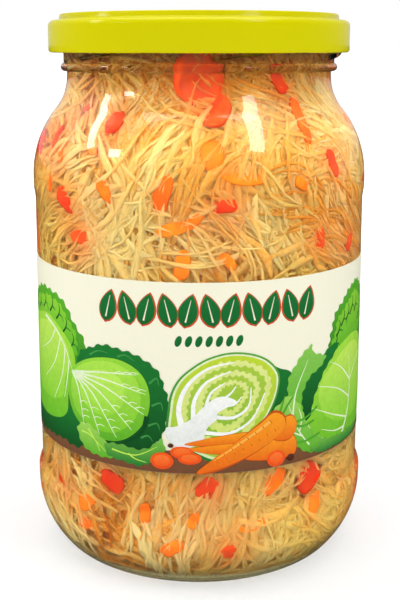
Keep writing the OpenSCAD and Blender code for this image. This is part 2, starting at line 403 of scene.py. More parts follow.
label_z, label_top = label_low.z, label_high.z
LAP = 9.0  # width of the lapped seam
strip = [(panel_r, label_z), (panel_r + PAPER, label_z), (panel_r + PAPER, label_top), (panel_r, label_top)]
paper_ring = turned(strip)
lap_turn = LAP / (panel_r + PAPER)
lap = bmesh.new()
end = [lap.verts.new((0, 0, 0)) for _ in strip]
for v, (r, z) in zip(end, strip):
    at = math.pi / 2 - lap_turn / 2
    v.co = ((r + PAPER) * MM * math.cos(at), (r + PAPER) * MM * math.sin(at), z * MM)
face = lap.faces.new(end)
bmesh.ops.spin(lap, geom=[face], cent=(0, 0, 0), axis=(0, 0, 1), angle=lap_turn, steps=8)
bmesh.ops.recalc_face_normals(lap, faces=lap.faces)
lap_mesh = bpy.data.meshes.new("lap")
lap.to_mesh(lap_mesh)
lap.free()
paper_ring.from_mesh(lap_mesh)

# Coated paper: a smooth cream face with a slight sheen, and fibres that barely show through.
coated_paper, tree, output = new_material("coated_cream_label_paper")
_, fibre, shade = mottled(tree, 1200.0, "#faf6d8", "#fdfae2", 3.0)
bump = add(tree, "Bump", {"Height": fibre.outputs["Fac"], "Strength": 0.1, "Distance": 0.00003})
sheet = add(tree, "BsdfPrincipled", {
    "Base Color": shade.outputs["Color"], "Roughness": 0.42, "IOR": 1.45, "Normal": bump.outputs["Normal"],
})
tree.links.new(sheet.outputs[0], output.inputs["Surface"])
label_paper = piece("label_paper", paper_ring, coated_paper)
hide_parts("label")

# Label print. Flat inks on the paper, with no lettering: cabbages on a strip of soil, one of them
# cut in half, carrots and rounds of carrot, and a row of leaves over a row of seeds. Each ink
# dries in a thin film over the ones printed before it.

INK = 0.016  # thickness of one film, drawn thicker than it is so that the order of the inks holds
label_r = panel_r + PAPER
label_h = label_top - label_z
printed = bmesh.new()
ink_layer = printed.verts.layers.float_color.new("ink")


def curve(knots, closed=True, steps=6):
    """Points of a smooth line through the knots, across and up the label in mm from its front foot."""
    knots = np.array(knots, float)
    ends = (knots[-1:], knots[:2]) if closed else (knots[:1], knots[-1:])
    chain = np.concatenate([ends[0], knots, ends[1]])
    points = []
    for a, b, c, d in zip(chain, chain[1:], chain[2:], chain[3:]):
        for t in np.linspace(0, 1, steps, endpoint=False):
            points.append(b + t * (c - a + t * (2 * a - 5 * b + 4 * c - d + t * (3 * b - a - 3 * c + d))) / 2)
    return np.array(points if closed else points + [knots[-1]])


def frilled(outline, waves, depth):
    """The outline, with its edge frilled in so many waves of such a depth."""
    loop = np.concatenate([outline, outline[:1]])
    run = np.concatenate([[0], np.cumsum(np.hypot(*np.diff(loop, axis=0).T))])
    at = np.linspace(0, run[-1], waves * 5, endpoint=False)
    dense = np.stack([np.interp(at, run, axis) for axis in loop.T], 1)
    ahead = np.roll(dense, -1, 0) - np.roll(dense, 1, 0)
    outward = np.stack([ahead[:, 1], -ahead[:, 0]], 1) / np.hypot(*ahead.T)[:, None]
    phase = math.tau * waves * at / run[-1]
    return dense + outward * (depth * (np.sin(phase) + 0.5 * np.sin(phase * 0.37 + 1)))[:, None]


def stroke(knots, wide, narrow=0.12):
    """Outline of a brush line through the knots, from one width to another."""
    line = curve(knots, False, 4)
    ahead = np.gradient(line, axis=0)
    side = np.stack([-ahead[:, 1], ahead[:, 0]], 1) / np.hypot(*ahead.T)[:, None]
    half = np.linspace(wide, narrow, len(line))[:, None] / 2
    return np.concatenate([line + side * half, (line - side * half)[::-1]])


def oval(u, v, wide, high, turn=0.0, steps=24):
    """Outline of an oval, turned by an angle in degrees."""
    angle, turn = np.linspace(0, math.tau, steps, endpoint=False), math.radians(turn)
    across, up = np.cos(angle) * wide / 2, np.sin(angle) * high / 2
    return np.stack([u + across * math.cos(turn) - up * math.sin(turn),
                     v + across * math.sin(turn) + up * math.cos(turn)], 1)


def leaf(u, v, wide, high, turn=0.0):
    """Outline of a plain pointed leaf that stands on (u, v)."""
    turn = math.radians(turn)
    up = np.concatenate([np.linspace(0, 1, 12), np.linspace(1, 0, 12)[1:-1]])
    half = np.sin(np.pi * up ** 0.8) ** 0.8 * wide / 2
    across = np.where(np.arange(len(up)) < 12, -half, half)
    up = up * high
    return np.stack([u + across * math.cos(turn) - up * math.sin(turn),
                     v + across * math.sin(turn) + up * math.cos(turn)], 1)


def ink(outline, foot, top, film):
    """Print a field that goes from one colour at its foot to another at its top, on a numbered film."""
    outline = np.clip(np.array(outline), (-999, 0.02), (999, label_h - 0.02))
    low, high = outline[:, 1].min(), outline[:, 1].max()
    points = [printed.verts.new((u, v, 0)) for u, v in outline]
    for point in points:
        rise = (point.co.y - low) / (high - low)
        point[ink_layer] = [a + (b - a) * rise for a, b in zip(linear(foot), linear(top))]
    made = bmesh.ops.extrude_face_region(printed, geom=[printed.faces.new(points)], use_keep_orig=True)
    raised = [v for v in made["geom"] if isinstance(v, bmesh.types.BMVert)]
    bmesh.ops.translate(printed, verts=raised, vec=(0, 0, film * INK))


def leafy(knots, waves, depth, foot, top, film):
    """Print a leaf with a frilled edge."""
    ink(frilled(curve(knots), waves, depth), foot, top, film)


def pen(knots, wide, colour, film, narrow=0.12):
    """Print a brush line in one colour."""
    ink(stroke(knots, wide, narrow), colour, colour, film)


DARK, DEEP, GREEN, FRESH, PALE = "#04521c", "#14802e", "#5ab820", "#90d82e", "#c4ee58"
LIME, RIB, WHITE, SOIL, EARTH = "#c4dc30", "#e6f4cb", "#fafbf6", "#8a5a3a", "#7a4c2e"
ROOT, BRIGHT, ROUND, SHADE = "#f26a00", "#ffa010", "#ff5c08", "#d05000"

half_round = math.pi * label_r
ink([(-half_round, 0), (half_round, 0), (half_round, 4.2), (60, 3.0), (30, 4.6), (4, 6.6), (-20, 5.8),
     (-60, 5.4), (-half_round, 4.2)], EARTH, SOIL, 1)

# The crinkled cabbages at the two sides: a frilled outer leaf, a brighter leaf over it with dark
# crinkles, and the head with its ribs.
for frill, bright, crinkles, head, ribs in (
    (
        [(-70, 5), (-73, 20), (-69, 35), (-61, 42.5), (-52, 44.2), (-46, 43.4), (-40, 41), (-37, 36.5),
         (-32.4, 32), (-35, 26), (-38, 12), (-42, 5), (-56, 3)],
        [(-70, 33), (-62, 39.6), (-52, 42), (-45, 41.4), (-40, 38), (-36, 33), (-37, 28), (-46, 30),
         (-60, 32)],
        [(-63, 38.5), (-58, 39.5), (-53, 40.6), (-48, 40.4), (-44, 39), (-40.6, 36), (-37.6, 32)],
        [(-66, 33), (-59, 35.6), (-51, 36.8), (-45, 35), (-40, 32), (-37.3, 28.6), (-37, 24), (-40, 17),
         (-41, 11), (-46, 8), (-56, 7), (-66, 10), (-70, 22)],
        ([(-53, 36), (-46, 33.6), (-41, 29), (-38, 23.5)], [(-46, 33.6), (-50, 29), (-57, 25.5)],
         [(-43.5, 31.6), (-47, 24), (-54, 18)], [(-41.2, 29.2), (-43, 21), (-48, 13)],
         [(-39.4, 26), (-40.6, 20), (-42, 15)]),
    ),
    (
        [(36, 20), (38.6, 27), (40, 32), (41.3, 37), (44.8, 40.5), (49.5, 43.5), (55, 45.5), (62, 43),
         (67, 34), (68, 22), (58, 16), (46, 16)],
        [(40, 27), (42, 33), (44, 37), (49, 40), (55, 42.6), (61, 39), (62, 31), (54, 28), (46, 27)],
        [(43, 31), (44.5, 34.5), (47, 37), (50, 38), (53, 39.6), (56.5, 39.2), (60, 36)],
        [(29.8, 16), (31.8, 21.4), (38.8, 26), (45, 29), (54, 30.6), (62, 28), (67, 19), (66, 8), (60, 2),
         (52, 1), (43, 2.2), (34.8, 6.1), (31, 11)],
        ([(47, 2.4), (50.6, 8), (52, 15), (51, 26)], [(50, 7), (42, 10), (33, 14)],
         [(51.6, 12.5), (44, 17), (34, 20)], [(52, 17.5), (46, 22.5), (40, 25.5)],
         [(48.6, 4.6), (43, 5), (37, 7)], [(51.8, 17), (58, 22), (64, 23)]),
    ),
):
    leafy(frill, 34, 0.45, DARK, GREEN, 2)
    leafy(bright, 26, 0.35, GREEN, FRESH, 3)
    for number, (u, v) in enumerate(crinkles):
        pen([(u - 1.6, v - 2.6), (u - 0.2, v - 1.2), (u + 0.4, v + 0.6), (u - 0.3, v + 1.8)], 0.7, DARK, 4)
        pen([(u - 0.1, v - 1.0), (u + 1.4, v - 1.4), (u + 2.2, v - 2.8 + number % 2)], 0.5, DEEP, 4)
    ink(curve(head), "#6cc41e", "#a8e43c", 5)
    middle = curve(head).mean(0)
    ink(middle + (curve(head) - middle) * 0.74 + (1.0, 1.6), "#8cd82e", PALE, 6)
    for number, rib in enumerate(ribs):
        pen(rib, 0.55 if number else 0.95, RIB, 7)
leafy([(-70, 3), (-69, 8.5), (-58, 8.4), (-50, 8.4), (-44, 10), (-39, 13), (-34, 10), (-33, 4), (-37, 2.2),
       (-46, 2.6), (-58, 1.6)], 24, 0.4, DARK, DEEP, 4)

# The round cabbage at the front left: a dark leaf behind it, the head with a fan of ribs, and two
# leaves that curl at its foot.
leafy([(-36.5, 25), (-34.5, 29.5), (-29, 32.2), (-24, 32.8), (-19, 31.8), (-14, 30.2), (-10.4, 26.8),
       (-8.5, 22), (-7.8, 17), (-9, 12), (-11, 8), (-15, 5), (-26, 4), (-35, 9), (-38.5, 18)],
      30, 0.3, DARK, DEEP, 8)
for knots in ([(-13, 24), (-11, 25.6), (-10.4, 23.6)], [(-12.4, 18), (-10, 19), (-9.4, 17)],
              [(-13.4, 12.5), (-11, 13.4), (-10.2, 11.6)], [(-22, 30.2), (-19.6, 31), (-17, 29.6)],
              [(-31, 29.4), (-28, 31), (-25, 30.8)], [(-15.4, 9), (-13.4, 9.8), (-12.2, 8.4)]):
    pen(knots, 0.6, "#3d9a45", 9)
round_head = curve([(-39.9, 19.5), (-38, 24.2), (-32.5, 27.8), (-25.6, 29.5), (-19.6, 29), (-14.9, 26),
                    (-12.9, 20.8), (-13.7, 14.8), (-17.4, 9.8), (-22.6, 7), (-29.8, 7), (-36.4, 10.2),
                    (-39.3, 14.5)])
ink(round_head, "#5cb41e", "#98dc38", 9)
middle = round_head.mean(0)
ink(middle + (round_head - middle) * 0.86 + (-0.6, 0.5), "#7ccc26", "#b0e84a", 10)
ink(middle + (round_head - middle) * 0.55 + (-1.0, 1.4), "#98de36", "#c2f05e", 11)
for u, v in ((-16.5, 26), (-14, 21), (-14.6, 15.5), (-18, 10.8), (-22.6, 8), (-28, 7.8), (-33.6, 9.4)):
    bow = (-37.6 + (u + 37.6) * 0.5, 23.6 + (v - 23.6) * 0.36 + 0.8)
    pen([(-38.0, 23.4), bow, (u, v)], 0.75, RIB, 12)
    for share in (0.4, 0.62, 0.8):
        start = (bow[0] + (u - bow[0]) * share, bow[1] + (v - bow[1]) * share + 0.2)
        pen([start, (start[0] + 1.2, start[1] + 0.5), (start[0] + 2.6, start[1] + 0.2)], 0.3, RIB, 12)
pen([(-13.6, 15), (-15.6, 10), (-21, 6.6)], 1.5, DARK, 12, 0.4)
leafy([(-36.2, 8.4), (-33, 10), (-29, 8.6), (-26.8, 6.6), (-24, 5.4), (-22, 3.2), (-26, 1.8), (-31, 2.0),
       (-35, 4.4)], 12, 0.25, GREEN, "#a4d858", 11)
leafy([(-26, 6), (-20.6, 6.2), (-16.2, 5.8), (-12.8, 6.6), (-10, 9.4), (-9, 6.3), (-11.6, 3.6), (-15, 1.4),
       (-20, 1.6), (-25.6, 3)], 14, 0.25, DEEP, "#7cc344", 12)
for knots in ([(-34.6, 7.4), (-31, 6.8), (-26, 3.4)], [(-32, 8.6), (-29, 5.2), (-28, 3)],
              [(-24, 4.6), (-17, 4), (-11, 7)], [(-19, 4.2), (-17, 3), (-14, 2.4)]):
    pen(knots, 0.5, PALE, 13)

# The cut cabbage in the middle: a pale rim, crinkled layers round a small heart, and a white stem
# that branches into ribs.
ink(curve([(17, 29), (22, 27), (25.4, 25.4), (28, 20), (29, 12), (25, 5), (16, 5), (16, 14), (19, 21)]),
    DARK, DEEP, 4)
cut_edge = curve([(-8.7, 11.5), (-8.2, 16.5), (-7.5, 21.2), (-5.5, 25.3), (-2.2, 28.5), (2.2, 31.2),
                  (7.8, 32.6), (13.6, 32), (18.4, 29.8), (21.6, 25.8), (21.4, 21), (19.4, 16), (16.4, 11.5),
                  (13, 7), (9.5, 4), (4.6, 3), (0, 4.6), (-4.5, 7.2), (-7.8, 9)])
heart = np.array((8.6, 21.6))
ink(cut_edge, DEEP, "#5dab3c", 9)
ink(heart + (cut_edge - heart) * 0.96, "#d9ecb0", "#e9f3c6", 10)
ink(heart + (cut_edge - heart) * 0.92, "#a5cf3e", LIME, 11)
for number, scale in enumerate((0.80, 0.68, 0.56, 0.44, 0.33, 0.23)):
    layer = frilled(heart + (cut_edge - heart) * scale, 34 - 3 * number, 0.28)
    ink(layer, "#93c136" if number % 2 else "#d5e574", "#aed03f" if number % 2 else "#e2ec8e",
        12 + number / 3)
for knots, wide in (
    ([(-4.4, 12.6), (-5.2, 18), (-3, 24), (2.4, 28.6), (9, 30)], 1.7),
    ([(-1.4, 14.6), (-1.2, 20), (2, 25), (8, 27.6)], 1.4), ([(1.6, 17.6), (3, 22), (6.6, 24.6)], 1.0),
    ([(4, 15.6), (9, 15.2), (13, 18), (13.6, 23)], 1.1),
    ([(1.4, 11.4), (8, 11), (14, 14.4), (17.4, 21)], 1.1), ([(5, 19.6), (8, 21.6), (9.6, 23.6)], 0.8),
    ([(5.4, 18.6), (9, 18.6), (11, 20.6)], 0.7),
):
    pen(knots, wide, WHITE, 14, 0.25)
ink(curve([(-8.6, 12.3), (-6.5, 12.8), (-4.5, 13.6), (-1.6, 15.4), (0.8, 18), (3.8, 20.4), (6.6, 21),
           (9.8, 19.4), (7, 17.9), (4.8, 16.6), (4.7, 15), (2.6, 13.2), (1.6, 11.4), (0.9, 8.6), (-2.2, 7.4),
           (-5.6, 7.4), (-8.2, 9.6)]), "#e9ece6", WHITE, 14.5)

# The leaves at the right: one that stands beside the cut cabbage, one that lies at the front and a
# frill at the foot of the head.
leafy([(29, 11), (28.6, 18), (30.6, 23), (35, 27), (41, 30), (44, 29.4), (38, 24), (34, 18), (32, 12)],
      16, 0.2, DARK, DEEP, 8)
leafy([(24.1, 19), (24.7, 24), (27.1, 27.7), (30, 30.5), (32.4, 32), (33, 29.4), (38, 27.8), (35.4, 25),
       (31.2, 22.6), (29.2, 18.6), (29, 13), (26, 11), (23.6, 14)], 20, 0.25, GREEN, "#8acb52", 9)
pen([(26, 13), (27, 20), (31, 28)], 0.6, RIB, 10)
leafy([(19.6, 15), (22, 17.4), (24.8, 19.2), (28, 16.4), (30, 12.5), (32.6, 8), (36, 4.8), (34, 1.8),
       (30, 2.6), (27, 5), (23, 8)], 16, 0.2, GREEN, "#9dd556", 10)
for knots in ([(32, 4), (28, 9), (24.6, 16.6)], [(29.6, 7), (26, 9), (23, 12.6)],
              [(28.4, 8.6), (29, 12), (28, 15)]):
    pen(knots, 0.5, RIB, 11)
leafy([(32, 2.6), (35, 5), (40, 3.8), (46, 3.2), (53, 3), (60, 2.4), (54, 0.6), (44, 0.6), (36, 0.8)],
      20, 0.25, DEEP, "#7cc344", 10)

# Carrots, with rings across them and a light down each, their cut stalks, and four cut rounds.
for knots in ([(22.6, 14), (24, 16.3), (25.9, 18.6)], [(21.8, 14.4), (22.6, 17), (23.4, 19.4)],
              [(26.6, 11.4), (30.5, 12), (34.8, 14.2)], [(26.8, 10.4), (30, 9.8), (33.6, 10.6)],
              [(26.8, 5.6), (31, 5.4), (36, 6.4)]):
    ink(stroke(knots, 0.8, 0.35), GREEN, "#3f9a2c", 13)
for number, knots in enumerate((
    [(-3.6, 8.2), (4, 10), (11.7, 10.8), (15, 10), (10.3, 7.8), (4, 7.6)],
    [(-2.6, 6.9), (4, 7.8), (10, 8.0), (14, 7), (6.8, 5.6), (2.3, 5.7)],
    [(12, 4), (17.5, 7), (22, 8.8), (25.8, 8.2), (27.3, 5.6), (26.4, 2.8), (22, 2.5), (16, 2.8)],
    [(20, 8.4), (22.6, 12.8), (25.6, 13.6), (27.2, 11.4), (26.6, 8.8), (24, 7.2)],
    [(-0.6, 0.2), (4, 4.3), (10.3, 8.9), (16.2, 12.8), (19.9, 15.2), (22.9, 14), (23.5, 11), (20, 7.9),
     (12.7, 4.2), (5.7, 1.5)],
)):
    root = curve(knots)
    ink(root + (root - root.mean(0)) * (0.02, 0.09), SHADE, SHADE, 15 + number * 0.8)
    ink(root, ROOT, BRIGHT, 15.4 + number * 0.8)
for along in np.linspace(0.08, 0.92, 9):
    u, v = 0.8 + 20.6 * along, 1.6 + 11 * along
    reach = 0.3 + 1.5 * along
    pen([(u - reach * 0.5, v + reach), (u - reach * 0.1, v + reach * 0.4)], 0.25, SHADE, 19.2)
    pen([(u + reach * 0.6, v - reach), (u + reach * 0.3, v - reach * 0.5)], 0.25, SHADE, 19.2)
pen([(4, 3.8), (11, 8.2), (19, 13)], 0.3, "#ffb84a", 19.2, 0.9)
for u, v, wide, high in ((-9.7, 3.3, 6.2, 4.6), (-4.4, 5.8, 6.2, 3.4), (-2.4, 4.2, 6.2, 3.2),
                         (21, 2.5, 5.4, 4.6)):
    film = 16 + abs(v - 6)
    ink(oval(u, v, wide, high), "#f04f10", ROUND, film)
    ink(oval(u, v + 0.1, wide * 0.72, high * 0.68), ROUND, "#ff7d2e", film + 0.5)
ink(oval(-7.4, 7.6, 1.5, 1.1), "#4a2414", "#6b3520", 16)
ink(oval(25.4, 2.0, 2.4, 2.0), "#4a2414", "#6b3520", 19)

# A row of plain leaves with a thin red edge, and under it a row of seeds.
LEAVES, SEEDS = 11, 7
for number in range(LEAVES):
    at = -24.6 + 54.8 * number / (LEAVES - 1)
    tilt = 14 if number % 2 else -14
    foot = at + 1.1 * math.sin(math.radians(tilt)) * 4
    ink(leaf(foot, 39.1, 5.5, 9.4, tilt), "#d8471c", "#d8471c", 2)
    ink(leaf(foot, 39.5, 4.9, 8.6, tilt), "#0a6a2c", "#0f7a34", 3)
    rise = math.radians(tilt)
    ink(stroke([(foot - 1.2 * math.sin(rise), 40.7),
                (foot - 7.2 * math.sin(rise), 39.5 + 7.2 * math.cos(rise))], 0.45),
        "#f6efcf", "#f6efcf", 4)
for number in range(SEEDS):
    ink(oval(-5.3 + 15.8 * number / (SEEDS - 1), 35.7, 1.7, 3.0, -20), "#0a6a2c", "#0f7a34", 2)

CUT = 1.5  # mm between cuts across the print, so that it bends with the paper
SEAM = half_round - LAP / 2  # where the lapped end begins, and the print steps up onto it
cuts = [CUT * number for number in range(-int(half_round // CUT), int(half_round // CUT) + 1)]
for across in cuts + [-SEAM, 0.05 - SEAM, SEAM - 0.05, SEAM]:
    bmesh.ops.bisect_plane(
        printed, geom=printed.verts[:] + printed.edges[:] + printed.faces[:], plane_co=(across, 0, 0),
        plane_no=(1, 0, 0), dist=1e-5,
    )
bmesh.ops.triangulate(printed, faces=printed.faces)
ends = [f for f in printed.faces if min(abs(v.co.x) for v in f.verts) > half_round - 0.01]
meeting = {v for f in ends for v in f.verts}
bmesh.ops.delete(printed, geom=ends, context="FACES_ONLY")
for v in printed.verts:
    u, up, out = v.co
    turn = u / label_r
    out += PAPER if abs(u) > SEAM - 0.02 else 0
    v.co = ((label_r + out) * MM * math.sin(turn), -(label_r + out) * MM * math.cos(turn),
            (label_z + up) * MM)

bmesh.ops.remove_doubles(printed, verts=list(meeting), dist=1e-6)
bmesh.ops.delete(printed, geom=[e for e in printed.edges if e.is_wire], context="EDGES")
bmesh.ops.recalc_face_normals(printed, faces=printed.faces)

# Offset inks: the paper's own sheen, and a faint mottle where the ink lies unevenly.
offset_ink, tree, output = new_material("offset_printed_ink")
place = add(tree, "TexCoord").outputs["Object"]
colour = add(tree, "Attribute", attribute_name="ink").outputs["Color"]
brush = add(tree, "TexNoise", {"Vector": place, "Scale": 520.0, "Detail": 3.0, "Distortion": 1.5})
mottle = add(tree, "MapRange", {"Value": brush.outputs["Fac"], "From Min": 0.3, "From Max": 0.7,
                                "To Min": 0.93, "To Max": 1.05})
uneven = add(tree, "VectorMath", {0: colour, "Scale": mottle.outputs["Result"]}, operation="SCALE")
film = add(tree, "BsdfPrincipled", {
    "Base Color": uneven.outputs["Vector"], "Roughness": 0.4, "IOR": 1.48, "Specular IOR Level": 0.2,
})
tree.links.new(film.outputs[0], output.inputs["Surface"])
piece("label_print", printed, offset_ink)

# Brine. Salty, cloudy cabbage juice fills all that the cabbage leaves, right up to the glass.

SOAK = 0.05  # how far the brine's skin reaches into the glass, so that no air shows between them
brine_z = filling_high.z - 1.0
brine_section = inside(brine_z, -SOAK) + [(0, brine_z)]
brine_body = turned(brine_section, closed=False)
# The brine is pale amber, and hazy enough to soften what lies deep in it.
amber_brine = clear("pale_amber_brine", 1.34, "#ffeebc", "#ffecbc", 0.25)
piece("brine", brine_body, amber_brine)

# Packed cabbage. Fermented white cabbage, cut in shreds about a millimetre wide and pressed down
# hard: a tangle in which bunches of shreds from one slice still lie side by side.

rng = np.random.default_rng(11)
wall_line = np.array(inside(brine_z - 0.6))
wall_run = np.concatenate([[0], np.cumsum(np.hypot(*np.diff(wall_line, axis=0).T))])
fresh = np.concatenate([[True], np.diff(wall_run) > 1e-6])
wall_line, wall_run = wall_line[fresh], wall_run[fresh]
slope = np.gradient(wall_line, wall_run, axis=0)
wall_out = np.stack([slope[:, 1], -slope[:, 0]], 1)
wall_out /= np.hypot(*wall_out.T)[:, None]


def run_at(z):
    """How far along the wall's section a height lies."""
    high_part = wall_run > wall_run[-1] * 0.2
    return float(np.interp(z, wall_line[high_part, 1], wall_run[high_part]))


def against_glass(turn, run, depth):
    """Places and outward directions, in mm, at a turn round the jar, a run up the wall and a depth in."""
    r, z, out_r, out_z = (
        np.interp(run, wall_run, line) for line in (*wall_line.T, *wall_out.T)
    )
    r, z = r - out_r * depth, z - out_z * depth
    place = np.stack([r * np.sin(turn), -r * np.cos(turn), z], -1)
    out = np.stack([out_r * np.sin(turn), -out_r * np.cos(turn), out_z], -1)
    return place, out


def bar(links, bevel=0.0):
    """Points and faces of a square bar 2 x 2 x 2, cut across into links, its long edges bevelled if asked."""
    bm = bmesh.new()
    bmesh.ops.create_cube(bm, size=2)
    along = [e for e in bm.edges if abs(e.verts[0].co.x - e.verts[1].co.x) > 1]
    bmesh.ops.subdivide_edges(bm, edges=along, cuts=links - 1)
    if bevel:
        long_edges = [e for e in bm.edges if abs(e.verts[0].co.x - e.verts[1].co.x) > 1e-3]
        bmesh.ops.bevel(bm, geom=long_edges, offset=bevel, offset_type="OFFSET", affect="EDGES",
                        segments=1, profile=0.5, material=-1)
    bmesh.ops.triangulate(bm, faces=bm.faces)
    bm.verts.ensure_lookup_table()
    points = np.array([v.co for v in bm.verts])
    faces = np.array([[v.index for v in f.verts] for f in bm.faces])
    bm.free()
    return points, faces


def swept(name, turn, run, depth, width, thick, roll, attributes, material, links, bevel=0.0):
    """One piece of many bars, each laid along its own line against the glass and rolled about it."""
    points, faces = bar(links, bevel)
    place, out = against_glass(turn, run, depth)
    ahead = np.gradient(place, axis=1)
    ahead /= np.linalg.norm(ahead, axis=2)[..., None]
    side = np.cross(out, ahead)
    side /= np.linalg.norm(side, axis=2)[..., None]
    out = np.cross(ahead, side)
    lean, stand = np.sin(roll)[..., None], np.cos(roll)[..., None]
    side, out = side * stand + out * lean, out * stand - side * lean
    link = np.rint((points[:, 0] + 1) / 2 * links).astype(int)
    spots = (
        place[:, link]
        + side[:, link] * (points[:, 1] * width[:, link] / 2)[..., None]
        + out[:, link] * (points[:, 2] * thick[:, link] / 2)[..., None]
    )
    count, size = spots.shape[:2]
    corners = (faces[None] + (np.arange(count) * size)[:, None, None]).reshape(-1)
    mesh = bpy.data.meshes.new(name)
    mesh.vertices.add(count * size)
    mesh.vertices.foreach_set("co", (spots * MM).astype(np.float32).ravel())
    mesh.loops.add(len(corners))
    mesh.loops.foreach_set("vertex_index", corners.astype(np.int32))
    mesh.polygons.add(len(corners) // 3)
    mesh.polygons.foreach_set("loop_start", np.arange(0, len(corners), 3, dtype=np.int32))
    mesh.update(calc_edges=True)
    length = np.linalg.norm(np.diff(place, axis=1), axis=2).sum(1, keepdims=True)
    attributes["along"] = np.linspace(0, 1, links + 1) * length + rng.uniform(0, 99, (count, 1))
    spread = {key: np.broadcast_to(value, (count, links + 1))[:, link] for key, value in attributes.items()}
    spread["across"] = np.broadcast_to(points[:, 1], (count, size))
    for key, value in spread.items():
        layer = mesh.attributes.new(key, "FLOAT", "POINT")
        layer.data.foreach_set("value", value.astype(np.float32).ravel())
    mesh.materials.append(material)
    mesh.shade_smooth()
    made = bpy.data.objects.new(name, mesh)
    bpy.context.scene.collection.objects.link(made)
    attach(made, "root")
    return made


def lines(turn, run, heading, length, bend, depth, links, phase, wander=0.3, weave=0.2):
    """Centre lines through a turn and a run, which bend steadily and wander a little as they go."""
    step = (length / links)[:, None]
    number = np.arange(links + 1)[None]
    course = heading[:, None] + bend[:, None] * step * (number - links / 2)
    course = course + wander * np.sin(number * 5.6 / links + phase[:, None])
    rise = np.sin(course) * step
    runs = run[:, None] + np.cumsum(rise, 1) - rise.sum(1, keepdims=True) / 2
    runs = np.clip(runs, 9.0, wall_run[-1])
    radius = np.maximum(np.interp(runs, wall_run, wall_line[:, 0]), 8.0)
    sweep = np.cos(course) * step / radius
    turns = turn[:, None] + np.cumsum(sweep, 1) - sweep.sum(1, keepdims=True) / 2
    swing = np.sin(number * 0.8 + rng.uniform(0, math.tau, (len(turn), 1)))
    return turns, runs, depth[:, None] + weave * swing


def wet_flesh(tree, output, colour, rough, ior, gloss, see_through):
    """Surface of wet plant flesh: a soft gloss, and a share of the light that goes right through."""
    skin = add(tree, "BsdfPrincipled", {
        "Base Color": colour, "Roughness": rough, "IOR": ior, "Specular IOR Level": gloss,
    })
    through = add(tree, "BsdfTranslucent", {"Color": colour})
    wet = add(tree, "MixShader", {0: see_through, 1: skin.outputs[0], 2: through.outputs[0]})
    tree.links.new(wet.outputs[0], output.inputs["Surface"])


# Cut cabbage, wet through: waxy and half clear, with fibres that run along each shred. It is pale cream
# at its face and amber where it is deep, and darker under the lid: the amber and the dark are painted
# shade, for light dimmed by the brine, by the shreds over them and by the lid.
wet_cabbage, tree, output = new_material("fermented_cabbage_shred")
tone_at, peach_tint_at, across, along = (
    add(tree, "Attribute", attribute_name=key).outputs["Fac"] for key in ("tone", "peach_tint", "across", "along")
)
grain = add(tree, "CombineXYZ", {"X": across, "Y": along, "Z": tone_at})
stretch = add(tree, "Mapping", {"Vector": grain.outputs[0], "Scale": (1.5, 0.9, 40.0)})
fibre = add(tree, "TexNoise", {"Vector": stretch.outputs[0], "Scale": 1.0, "Detail": 3.0, "Roughness": 0.6})
streak = add(tree, "MapRange", {"Value": fibre.outputs["Fac"], "From Min": 0.3, "From Max": 0.7,
                                "To Min": -0.2, "To Max": 0.2})
level = add(tree, "Math", {0: tone_at, 1: streak.outputs["Result"]}, operation="ADD")
cream = add(tree, "ValToRGB", {"Fac": level.outputs[0]})
ramp = cream.color_ramp
ramp.elements[0].color = linear("#da7a14")
ramp.elements[1].color = linear("#fffae6")
for at, colour in ((0.2, "#f8bc4c"), (0.42, "#ffdb8a"), (0.68, "#fff0c4")):
    ramp.elements.new(at).color = linear(colour)
place = add(tree, "TexCoord").outputs["Object"]
drift = add(tree, "TexNoise", {"Vector": place, "Scale": 38.0, "Detail": 1.0})
green = add(tree, "MapRange", {"Value": drift.outputs["Fac"], "From Min": 0.42, "From Max": 0.62,
                               "To Max": 0.55})
outer_leaf = add(tree, "MixRGB", {
    "Fac": green.outputs["Result"], "Color1": cream.outputs["Color"], "Color2": linear("#f6ea8c"),
}, blend_type="MULTIPLY")
# Shreds are mixed towards peach where they lie near the pepper and carrot bits.
tinted = add(tree, "MixRGB", {
    "Fac": peach_tint_at, "Color1": outer_leaf.outputs["Color"], "Color2": linear("#ffab62"),
})
wet_flesh(tree, output, tinted.outputs["Color"], 0.45, 1.36, 0.1, 0.68)

# Where the sweet pepper and carrot lie against the glass: turn in degrees, height, length, width
# and tilt, for those at the front. The rest are scattered round the back.
PEPPERS = [
    (1, 136, 13, 9, 85), (3, 129, 9, 8, 60), (-51, 128, 2.6, 2.4, 20), (-61, 120, 6, 1.8, 80),
    (-33, 125, 6, 3.4, 70), (-50, 105, 8, 3.6, -40), (-44, 95, 6, 3.2, 10), (52, 114, 7, 3.0, 105),
    (44, 95, 6, 3.0, 88), (40, 29, 8, 6.5, 45), (3, 30, 6, 4.6, 60), (-31, 29, 7, 4.6, 160),
    (-57, 23, 4, 2.6, 70), (10, 12, 4, 3, 10), (36, 135, 6, 3.4, 120), (62, 92, 5, 3, 60), (8, 105, 6, 3, 20),
]
CARROTS = [
    (42, 125, 13, 2.8, 82), (-39, 119, 5, 2.4, 110), (-55, 116, 4, 2.2, 100), (-60, 108, 4, 2.0, 80),
    (-32, 108, 6, 2.4, 125), (-11, 108, 9, 3.2, 80), (-7, 101, 12, 3.0, 25), (-6, 90, 7, 3.8, 85),
    (14, 113, 11, 2.8, -12), (35, 110, 4, 2.6, -30), (9, 91, 5, 2.6, -45), (26, 30, 8, 3.0, 60),
    (-42, 21, 7, 3.4, 30), (-43, 15, 4, 2.4, 0), (-18, 22, 5, 3.0, 100), (18, 19, 7, 2.2, 15),
    (-2, 21, 4, 2.4, 60), (-9, 13, 6, 3.4, 40), (43, 20, 7, 3.2, 70), (61, 22, 4, 2.2, 80),
    (5, 117, 8, 4.5, 100),
]
LONGER, WIDER = 1.15, 1.2  # allowance for the blunt, rounded ends and sides


